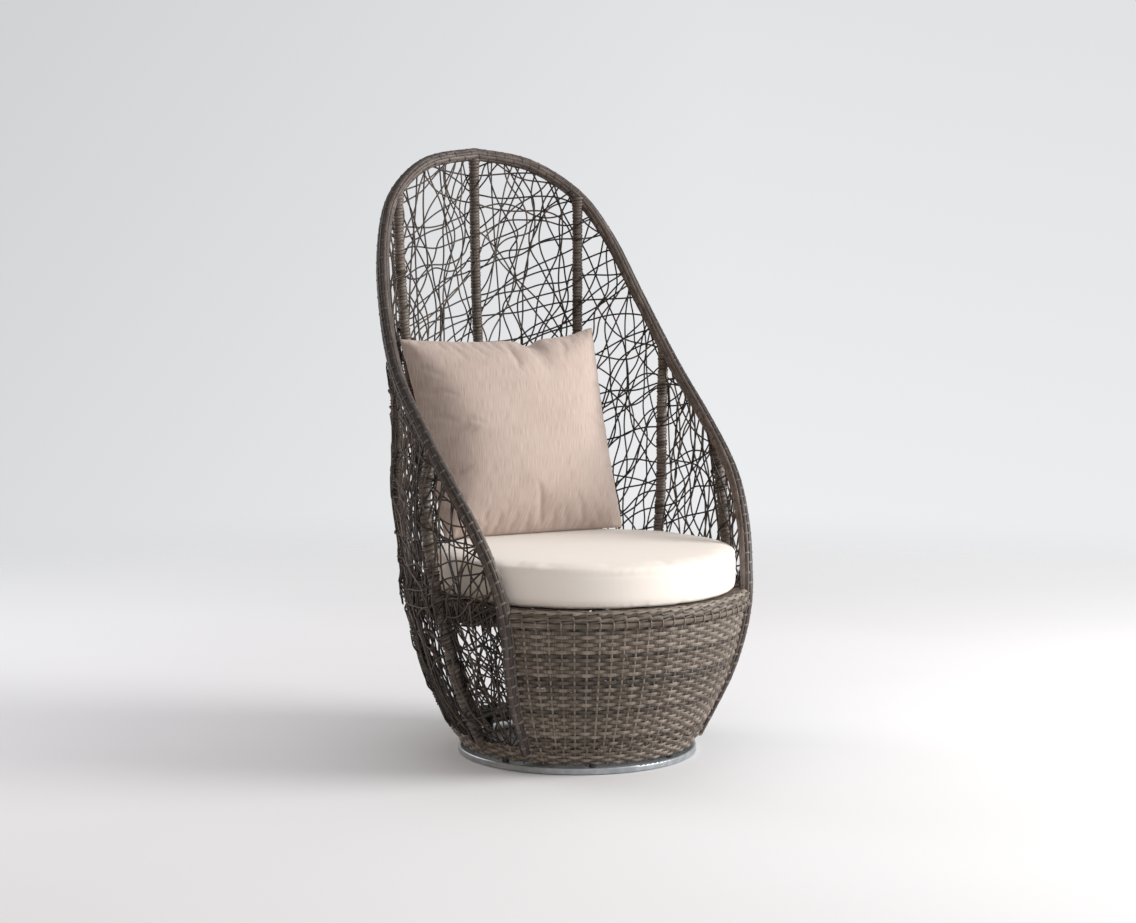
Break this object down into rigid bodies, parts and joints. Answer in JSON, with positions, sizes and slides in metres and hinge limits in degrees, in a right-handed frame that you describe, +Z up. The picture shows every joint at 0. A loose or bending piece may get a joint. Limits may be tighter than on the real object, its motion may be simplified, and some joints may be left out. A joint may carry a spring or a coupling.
{
  "type": "egg chair",
  "caption": "Free-standing swivel egg chair: open random-weave basket on a ribbed frame with a close-woven front, seat cushion and back pillow, on a round floor plate.",
  "frame": {"origin": "on the swivel axis, at floor level, at the middle of the floor pads' underside", "axes": "+Z up along the swivel axis; the open front faces -Y; +X to the sitter's left as they look out of the front, which is the right of someone facing the chair"},
  "size_m": [0.8202, 0.9358, 1.4205],
  "materials": {
    "disc_metal": "satin grey lacquered sheet with a rolled edge",
    "rubber": "matt black rubber",
    "black_nylon": "moulded black nylon",
    "zinc_steel": "zinc-plated pressed steel",
    "frame_metal": "dark powder-coated aluminium tube",
    "bound_cane": "flat grey-brown synthetic cane, ribbed along its length",
    "web_cane": "round dark brown synthetic cane",
    "cream_canvas": "cream outdoor canvas, plain weave",
    "pillow_linen": "pinkish beige slub linen"
  },
  "bodies": {
    "base": {"base_disc": "disc_metal", "floor_pads": "rubber", "race_lower_plate": "zinc_steel", "race_bolts": "zinc_steel", "race_nuts": "zinc_steel"},
    "ball_cage": {"race_cage": "black_nylon", "race_balls": "zinc_steel"},
    "basket": {"race_upper_plate": "zinc_steel", "hub_bolts": "zinc_steel", "hub_nuts": "zinc_steel", "king_pin": "zinc_steel", "spider_frame": "frame_metal", "bottom_ring": "frame_metal", "bottom_weave": "bound_cane", "skirt_glides": "black_nylon", "seat_ring": "frame_metal", "seat_ring_weave": "bound_cane", "seat_bars": "frame_metal", "seat_straps": "bound_cane", "front_stakes": "frame_metal", "front_weave": "bound_cane", "front_border": "bound_cane", "rim": "bound_cane", "rib_back": "bound_cane", "rib_left_1": "bound_cane", "rib_left_2": "bound_cane", "rib_left_3": "bound_cane", "rib_right_1": "bound_cane", "rib_right_2": "bound_cane", "rib_right_3": "bound_cane", "web_low_left_1": "web_cane", "web_low_left_2": "web_cane", "web_low_left_3": "web_cane", "web_low_left_4": "web_cane", "web_low_right_1": "web_cane", "web_low_right_2": "web_cane", "web_low_right_3": "web_cane", "web_low_right_4": "web_cane", "web_left_1": "web_cane", "web_left_2": "web_cane", "web_left_3": "web_cane", "web_left_4": "web_cane", "web_right_1": "web_cane", "web_right_2": "web_cane", "web_right_3": "web_cane", "web_right_4": "web_cane"},
    "cushion": {"seat_cushion": "cream_canvas"},
    "pillow": {"back_pillow": "pillow_linen"}
  },
  "joints": [
    {"name": "swivel", "type": "hinge", "parent": "base", "child": "basket", "pos_m": [0, 0, 0.0235], "axis": [0, 0, 1], "continuous": true},
    {"name": "cage_spin", "type": "hinge", "parent": "base", "child": "ball_cage", "pos_m": [0, 0, 0.0235], "axis": [0, 0, 1], "continuous": true},
    {"name": "cushion_lift", "type": "slide", "parent": "basket", "child": "cushion", "axis": [0, 0, 1], "range_m": [0, 0.12]},
    {"name": "pillow_lift", "type": "slide", "parent": "cushion", "child": "pillow", "axis": [0, -0.5, 0.866], "range_m": [0, 0.15]}
  ],
  "couplings": [
    {"joint": "cage_spin", "follows": "swivel", "ratio": 0.5}
  ]
}
